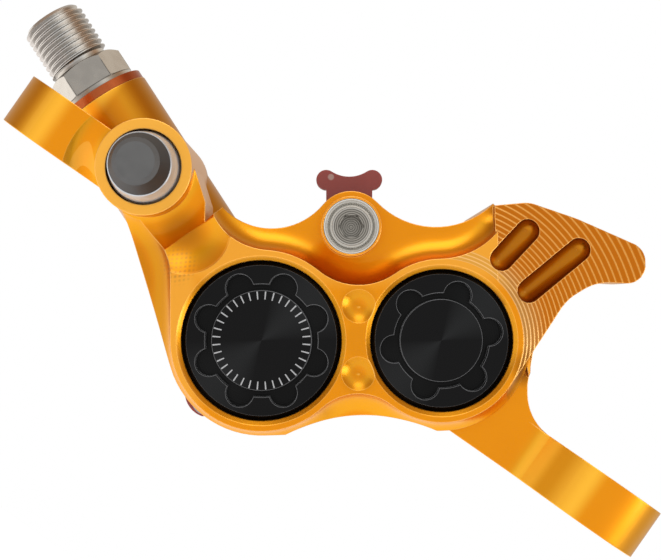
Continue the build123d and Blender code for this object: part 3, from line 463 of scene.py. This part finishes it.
# Transport spacer
# Injection-moulded from clear red plastic, pushed between the pads and held by the pin. Light passes a
# little way into it, so its edges glow, and its faces have a soft moulded sheen.
red, red_shader = finish_named(
    "moulded_red_plastic",
    {
        "Roughness": 0.38,
        "Subsurface Weight": 0.2,
        "Subsurface Scale": 1.2 * mm,
        "Subsurface Radius": (1.0, 0.25, 0.25),
        "Coat Weight": 0.1,
    },
)
point = node(red, "ShaderNodeTexCoord").outputs["Object"]
_, red_tone = mottle(red, point, 8.33, 3.0, "74201A", "984238")
# The gate of the mould left a grey spot of 0.8 mm on the left lobe
gate_reach = reach_from(red, point, on_face(-2.3, 20.1))
gate_mark = node(red, "ShaderNodeMapRange", {0: gate_reach, 1: 0.3 * mm, 2: 0.45 * mm, 3: 0.6, 4: 0.0})
spotted = {"Factor": gate_mark, 6: red_tone, 7: shade("B8A8A2")}
red_tone = node(red, "ShaderNodeMix", spotted, data_type="RGBA")
mould = node(red, "ShaderNodeTexNoise", {"Vector": point, "Scale": 1 / (0.556 * mm), "Detail": 2.0})
mould_skin = node(red, "ShaderNodeBump", {"Height": mould, "Strength": 0.08, "Distance": 0.03 * mm})
fill(red_shader, {"Base Color": red_tone, "Normal": mould_skin})
dress(red, "transport_spacer")

# Bleed screw and its cap
# The screw is turned from plain steel and left dull, with feed marks 0.3 mm apart. The cap over its nipple
# is moulded from soft grey rubber.
dull_steel, dull_shader = finish_named("dull_turned_steel", {"Metallic": 0.5})
point = node(dull_steel, "ShaderNodeTexCoord").outputs["Object"]
wear, wear_tone = mottle(dull_steel, point, 1.11, 4.0, "A8AEB4", "CCD2D8")
wear_rough = node(dull_steel, "ShaderNodeMapRange", {0: wear, 1: 0.3, 2: 0.7, 3: 0.3, 4: 0.48})
feed = node(
    dull_steel,
    "ShaderNodeTexWave",
    {"Vector": point, "Scale": wave_turn / (0.3 * mm)},
    wave_type="BANDS",
    bands_direction="Y",
).outputs["Fac"]
feed_marks = node(dull_steel, "ShaderNodeBump", {"Height": feed, "Strength": 0.15, "Distance": 0.02 * mm})
fill(dull_shader, {"Base Color": wear_tone, "Roughness": wear_rough, "Normal": feed_marks})


def turn_profile(bm, profile, steps=72):
    """Adds the ring that a closed profile of radii and heights makes when it is turned about Z."""
    points = [bm.verts.new((radius, 0, height)) for radius, height in profile]
    edges = [bm.edges.new((points[number - 1], point)) for number, point in enumerate(points)]
    bmesh.ops.spin(
        bm, geom=points + edges, cent=(0, 0, 0), axis=(0, 0, 1), angle=2 * pi, steps=steps, use_merge=True
    )


def settle(bm, name, material, place, body):
    """Puts a mesh made in millimetres in its place, faces outwards, as a piece that rides on the body."""
    bmesh.ops.remove_doubles(bm, verts=bm.verts, dist=1e-4)
    bmesh.ops.recalc_face_normals(bm, faces=bm.faces)
    bmesh.ops.transform(bm, matrix=place @ Matrix.Scale(mm, 4), verts=bm.verts)
    for face in bm.faces:
        face.smooth = True
    mesh = bpy.data.meshes.new(name)
    bm.to_mesh(mesh)
    bm.free()
    mesh.set_sharp_from_angle(angle=radians(30))
    mesh.materials.append(material)
    piece = bpy.data.objects.new(name, mesh)
    bpy.context.scene.collection.objects.link(piece)
    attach(piece, body)
    return piece


# Radii and heights above the bolts: the seat in its bore, the flared cone, and the nipple
seat_profile = ((1.1, -4.4), (3.0, -3.6), (3.0, 4.45), (4.1, 4.45))
flare_profile = ((4.1, 7.3), (3.98, 7.5), (3.56, 11.5), (3.46, 11.6))
nipple_profile = ((2.0, 11.6), (2.0, 13.6), (1.8, 13.8), (1.1, 13.8))
boss_axes = Matrix((bore_row, bore_rise, (0, -1, 0))).transposed().to_4x4()
boss_frame = Matrix.Translation(on_face(-23.2, 19.4)) @ boss_axes
bm = bmesh.new()
turn_profile(bm, seat_profile + flare_profile + nipple_profile)
screw = settle(bm, "bleed_screw_turned", dull_steel, boss_frame, "bleed_screw")
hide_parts("bleed_screw")

rubber, rubber_shader = finish_named("moulded_grey_rubber", {"Roughness": 0.62})
spot = node(rubber, "ShaderNodeTexCoord")
bloom, rubber_tone = mottle(rubber, spot.outputs["Object"], 2.0, 4.0, "46484A", "585A5B")
# The flat top keeps its mottled grey, and painted shade makes the sloping side nearly black
top_way = node(rubber, "ShaderNodeSeparateXYZ", {0: spot.outputs["Normal"]})
side_shade = node(rubber, "ShaderNodeMapRange", {0: top_way.outputs["Y"], 1: -0.75, 2: -0.4, 3: 0.0, 4: 0.9})
shaded_sides = {"Factor": side_shade, 6: rubber_tone, 7: shade("17181A")}
rubber_tone = node(rubber, "ShaderNodeMix", shaded_sides, data_type="RGBA")
rubber_skin = node(rubber, "ShaderNodeBump", {"Height": bloom, "Strength": 0.2, "Distance": 0.04 * mm})
fill(rubber_shader, {"Base Color": rubber_tone, "Normal": rubber_skin})
dress(rubber, "bleed_cap")

# Washer of the hose connector
# Stamped from soft copper and squeezed flat as the connector is tightened. It is bare, warm in colour and
# browned in patches of 3 mm.
copper, copper_shader = finish_named("stamped_copper", {"Metallic": 1.0, "Roughness": 0.22})
point = node(copper, "ShaderNodeTexCoord").outputs["Object"]
tarnish, copper_tone = mottle(copper, point, 2.86, 4.0, "7E3016", "C87040")
pressed = node(copper, "ShaderNodeBump", {"Height": tarnish, "Strength": 0.2, "Distance": 0.03 * mm})
fill(copper_shader, {"Base Color": copper_tone, "Normal": pressed})
dress(copper, "copper_washer")

# Hose connector
# Turned from steel bar: a stub with a collar, a hexagon of 8.7 mm with its far corners turned to a cone,
# and 6.6 mm of M8 thread with a pitch of 0.75 mm and a root radius of 3.52 mm. The hose screws into its
# open end.


def set_stops(ramp, stops):
    """Gives a colour ramp its places and colours, with smooth steps between them."""
    ramp.interpolation = "B_SPLINE"
    for number, (where, colour) in enumerate(stops):
        stop = ramp.elements[number] if number < 2 else ramp.elements.new(where)
        stop.position = where
        stop.color = colour


# Plated steel with painted reflections: long darker and lighter streaks, set by the way each face turns
# about the axis, run along it, so the threads and the flats differ in tone
plated, plated_shader = finish_named("plated_turned_steel", {"Metallic": 1.0})
spot = node(plated, "ShaderNodeTexCoord")
point = spot.outputs["Object"]
facing = spot.outputs["Normal"]
reflection_turn = node(plated, "ShaderNodeVectorMath", {0: facing, 1: port_side}, operation="DOT_PRODUCT")
reflection_turn = node(plated, "ShaderNodeMapRange", {0: reflection_turn, 1: -1.0, 2: 1.0, 3: 0.0, 4: 1.0})
tone_and_reflections = node(plated, "ShaderNodeValToRGB", {"Fac": reflection_turn})
reflection_tones = (
    (0.0, "D8D6CE"),
    (0.10, "D2D0C8"),
    (0.22, "6A645C"),
    (0.32, "C0BCB4"),
    (0.42, "8E8982"),
    (0.56, "948F88"),
    (0.68, "524A44"),
    (0.80, "B4AFA6"),
    (0.92, "D4D2CA"),
    (1.0, "B8B4AC"),
)
set_stops(tone_and_reflections.color_ramp, [(where, shade(tone)) for where, tone in reflection_tones])
# The plating is mottled over 1.4 mm, the thread is painted brighter as a highlight, and painted shade draws
# dark lines between the flats of the hexagon
mottled = node(plated, "ShaderNodeTexNoise", {"Vector": point, "Scale": 1 / (1.43 * mm), "Detail": 4.0})
dusty = node(plated, "ShaderNodeMapRange", {0: mottled, 1: 0.4, 2: 0.7, 3: 0.0, 4: 0.25})
from_port = node(plated, "ShaderNodeMapping", {"Vector": point, "Location": -port_place})
outwards = node(plated, "ShaderNodeVectorMath", {0: from_port, 1: port_axis}, operation="DOT_PRODUCT")
thread_highlight = node(plated, "ShaderNodeMapRange", {0: outwards, 1: 18.2 * mm, 2: 18.6 * mm, 3: 0.0, 4: 0.3})
on_nut = node(plated, "ShaderNodeMapRange", {0: outwards, 1: 16.6 * mm, 2: 17.0 * mm, 3: 1.0, 4: 0.0})
nut_turn = turn_of(plated, node(plated, "ShaderNodeBevel", {"Radius": 0.3 * mm}, samples=8))
nut_edge_shade = node(plated, "ShaderNodeMapRange", {0: nut_turn, 1: 0.99, 2: 0.93, 3: 0.0, 4: 0.8})
nut_edge_shade = node(plated, "ShaderNodeMath", {0: nut_edge_shade, 1: on_nut}, operation="MULTIPLY")
for mask, tone in ((dusty, "B0ACA4"), (thread_highlight, "FCFCFC"), (nut_edge_shade, "2E2A26")):
    ends = {"Factor": mask, 6: tone_and_reflections, 7: shade(tone)}
    tone_and_reflections = node(plated, "ShaderNodeMix", ends, data_type="RGBA")
plated_rough = node(plated, "ShaderNodeMapRange", {0: mottled, 1: 0.3, 2: 0.7, 3: 0.2, 4: 0.3})
pitted = node(plated, "ShaderNodeBump", {"Height": mottled, "Strength": 0.1, "Distance": 0.02 * mm})
fill(plated_shader, {"Base Color": tone_and_reflections, "Roughness": plated_rough, "Normal": pitted})

# The thread is one profile of root, flank and crest for each turn, wound up by a pitch and cut square at
# both ends. Its last 0.55 mm is turned down to a cone, so that it starts easily.
thread_low, thread_high, pitch, crest, root_radius, core = 18.55, 25.15, 0.75, 3.98, 3.52, 3.3
turns, steps, run_in, lead = 11, 48, 1.15, 0.55
bm = bmesh.new()
points = []
for number in range(turns):
    low = thread_low - run_in + number * pitch
    for radius, share in ((root_radius, 0), (root_radius, 0.12), (crest, 0.5), (crest, 0.62)):
        points.append(bm.verts.new((radius, 0, low + share * pitch)))
points.append(bm.verts.new((root_radius, 0, thread_low - run_in + turns * pitch)))
edges = [bm.edges.new(pair) for pair in zip(points, points[1:])]
bmesh.ops.spin(
    bm,
    geom=points + edges,
    cent=(0, 0, 0),
    axis=(0, 0, 1),
    dvec=(0, 0, pitch / steps),
    angle=2 * pi,
    steps=steps,
)
bmesh.ops.remove_doubles(bm, verts=bm.verts, dist=1e-3)
for vert in bm.verts:
    reach = vert.co.xy.length
    limit = crest - max(0, vert.co.z - thread_high + lead)
    if reach > limit:
        vert.co.xy *= limit / reach
for height, side in ((thread_low, "clear_inner"), (thread_high, "clear_outer")):
    bmesh.ops.bisect_plane(
        bm,
        geom=[*bm.verts, *bm.edges, *bm.faces],
        dist=1e-5,
        plane_co=(0, 0, height),
        plane_no=(0, 0, 1),
        **{side: True},
    )
# A plain core closes it inside
rims = []
for height in (thread_low, thread_high):
    cut = [edge for edge in bm.edges if edge.is_boundary and abs(edge.verts[0].co.z - height) < 1e-3]
    circle = bmesh.ops.create_circle(
        bm, cap_ends=False, segments=steps, radius=core, matrix=Matrix.Translation((0, 0, height))
    )
    rim = list({edge for vert in circle["verts"] for edge in vert.link_edges})
    bmesh.ops.bridge_loops(bm, edges=cut + rim)
    rims += rim
bmesh.ops.bridge_loops(bm, edges=rims)

# The stub in the port, the collar, the neck under the thread and the bore for the hose
stub_profile = ((1.2, 8.25), (3.68, 8.25), (3.98, 8.55), (3.98, 13.75))
collar_profile = ((4.9, 13.75), (5.0, 13.85), (5.0, 14.45))
neck_profile = ((3.5, 14.45), (3.5, thread_low), (core, thread_low), (core, thread_high))
bore_profile = ((2.6, thread_high), (2.6, 19.95), (1.2, thread_low))
turn_profile(bm, stub_profile + collar_profile + neck_profile + bore_profile)

# The hexagon has one flat towards the viewer, and its corners fall away beyond the radius of its flat top
hex_low, hex_high, hex_flats, flat_top, corner_fall = 14.45, 17.85, 8.7, 4.25, 0.62
hex_turn = Matrix.Rotation(radians(-27), 4, "Z")
hexagon = bmesh.ops.create_circle(
    bm,
    cap_ends=False,
    segments=6,
    radius=hex_flats / 3**0.5,
    matrix=Matrix.Translation((0, 0, hex_low)) @ hex_turn,
)
sides = list({edge for vert in hexagon["verts"] for edge in vert.link_edges})
split = bmesh.ops.subdivide_edges(bm, edges=sides, cuts=7)
low_ring = [part for part in split["geom"] if isinstance(part, bmesh.types.BMEdge)]
risen = bmesh.ops.extrude_edge_only(bm, edges=low_ring)["geom"]
high_ring = [part for part in risen if isinstance(part, bmesh.types.BMEdge)]
for vert in {vert for edge in high_ring for vert in edge.verts}:
    vert.co.z = hex_high - corner_fall * max(0, vert.co.xy.length - flat_top)
circle = bmesh.ops.create_circle(
    bm, cap_ends=True, segments=steps, radius=flat_top, matrix=Matrix.Translation((0, 0, hex_high))
)
top_ring = list({edge for vert in circle["verts"] for edge in vert.link_edges})
bmesh.ops.bridge_loops(bm, edges=high_ring + top_ring)
bmesh.ops.edgeloop_fill(bm, edges=low_ring)
port_axes = Matrix((port_side, (0, -1, 0), port_axis)).transposed().to_4x4()
port_frame = Matrix.Translation(port_place) @ port_axes
connector = settle(bm, "hose_connector_threaded", plated, port_frame, "caliper")
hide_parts("hose_connector")

# Pin of the pads
# Turned from bright steel, with a broad polished flange and rings 0.24 mm apart in the dish round the
# socket. The socket is painted darker than the flange, as shade in its recess.
pin_steel, pin_shader = finish_named("bright_turned_steel", {"Metallic": 0.9})
point = node(pin_steel, "ShaderNodeTexCoord").outputs["Object"]
pin_centre = on_face(0, 12.9)
centred = node(pin_steel, "ShaderNodeMapping", {"Vector": point, "Location": -pin_centre})
rings = node(
    pin_steel,
    "ShaderNodeTexWave",
    {"Vector": centred, "Scale": wave_turn / (0.24 * mm), "Distortion": 0.8},
    wave_type="RINGS",
    rings_direction="Y",
).outputs["Fac"]
tones = []
for first, second in (("5A5650", "9A968E"), ("C4C2BD", "DEDCD7")):
    ends = {"Factor": rings, 6: shade(first), 7: shade(second)}
    tones.append(node(pin_steel, "ShaderNodeMix", ends, data_type="RGBA"))
socket_shade_tone, polished = tones
flange = node(
    pin_steel,
    "ShaderNodeMapRange",
    {0: reach_from(pin_steel, point, pin_centre), 1: 1.9 * mm, 2: 2.3 * mm, 3: 0.0, 4: 1.0},
    interpolation_type="SMOOTHSTEP",
)
# Painted shade: the socket inside the flange takes the dark tone
pin_tone = node(pin_steel, "ShaderNodeMix", {"Factor": flange, 6: socket_shade_tone, 7: polished}, data_type="RGBA")
pin_rough = node(pin_steel, "ShaderNodeMapRange", {0: rings, 1: 0.0, 2: 1.0, 3: 0.22, 4: 0.34})
ringed = node(pin_steel, "ShaderNodeBump", {"Height": rings, "Strength": 0.2, "Distance": 0.02 * mm})
fill(pin_shader, {"Base Color": pin_tone, "Roughness": pin_rough, "Normal": ringed})
dress(pin_steel, "pad_pin")

# Floor, light and camera
# A pale matt board half a metre below the caliper, soft lamps round it and a white room, as in a product
# photograph. The board glows a little, like a light table, and that fills the shadows under the caliper.
bm = bmesh.new()
bmesh.ops.create_grid(bm, x_segments=1, y_segments=1, size=2.0)
bmesh.ops.translate(bm, vec=(0, 0, -0.5), verts=bm.verts)
floor_mesh = bpy.data.meshes.new("floor")
bm.to_mesh(floor_mesh)
bm.free()
floor = bpy.data.objects.new("floor", floor_mesh)
bpy.context.scene.collection.objects.link(floor)
board, board_shader = finish_named(
    "matt_white_board",
    {"Roughness": 0.9, "Emission Color": shade("FFFFFF"), "Emission Strength": 0.7},
)
point = node(board, "ShaderNodeTexCoord").outputs["Object"]
_, board_tone = mottle(board, point, 16.7, 2.0, "E6EDF6", "EEF4FC")
fill(board_shader, {"Base Color": board_tone})
floor_mesh.materials.append(board)

# The backdrop is seen as white. What the metal mirrors is brightest round the camera, dim and warm at the
# sides, where brown boards stand, and pale again behind the caliper. It is also brighter above than below.
world = bpy.data.worlds.new("white_room")
bpy.context.scene.world = world
world.use_nodes = True
room = world.node_tree.nodes["Background"]
sight = node(world, "ShaderNodeTexCoord")
ways = node(world, "ShaderNodeSeparateXYZ", {0: sight.outputs["Generated"]})
ahead = node(world, "ShaderNodeMapRange", {0: ways.outputs["Y"], 1: -1.0, 2: 1.0, 3: 0.0, 4: 1.0})
boards = node(world, "ShaderNodeValToRGB", {"Fac": ahead})
room_lights = (
    (0.0, (1.15, 1.14, 1.12, 1)),
    (0.12, (1.06, 1.03, 1.0, 1)),
    (0.28, (0.82, 0.70, 0.58, 1)),
    (0.42, (0.50, 0.29, 0.17, 1)),
    (0.56, (0.42, 0.25, 0.15, 1)),
    (0.74, (0.58, 0.50, 0.42, 1)),
    (1.0, (0.66, 0.63, 0.60, 1)),
)
set_stops(boards.color_ramp, room_lights)
top = node(world, "ShaderNodeMapRange", {0: ways.outputs["Z"], 1: -1.0, 2: 1.0, 3: 0.75, 4: 1.25})
graded = node(world, "ShaderNodeVectorMath", {0: boards, 3: top}, operation="SCALE")
seen = node(world, "ShaderNodeLightPath")
light = node(
    world,
    "ShaderNodeMix",
    {"Factor": seen.outputs["Is Camera Ray"], 6: graded, 7: (1, 1, 1, 1)},
    data_type="RGBA",
)
fill(room, {"Color": light})
bpy.context.scene.view_settings.view_transform = "Standard"


def lamp(name, place, size, power):
    """A round soft lamp of that size in metres, aimed at the caliper."""
    data = bpy.data.lights.new(name, "AREA")
    data.shape, data.size, data.energy = "DISK", size, power
    made = bpy.data.objects.new(name, data)
    made.location = place
    made.rotation_mode = "QUATERNION"
    made.rotation_quaternion = (Vector((0.003, 0, 0.005)) - Vector(place)).to_track_quat("-Z", "Y")
    bpy.context.scene.collection.objects.link(made)


lamp("key_light", (-0.22, -0.22, 0.32), 0.32, 0.4)
lamp("side_light", (0.32, -0.12, 0.1), 0.2, 0.35)

# The camera looks along +Y at the outer face, 180 mm from the bolts, rolled so that the bores lie level
image_width, focal_pixels, shift_pixels, sensor = 661, 1546, 23, 36
camera_data = bpy.data.cameras.new("camera")
camera_data.sensor_width = sensor
camera_data.lens = focal_pixels / image_width * sensor
camera_data.shift_y = shift_pixels / image_width
camera_data.clip_start = 0.01
camera = bpy.data.objects.new("camera", camera_data)
camera.matrix_world = Matrix.Translation((-0.001057, -0.180, 0.004225)) @ boss_axes
bpy.context.scene.collection.objects.link(camera)
bpy.context.scene.camera = camera
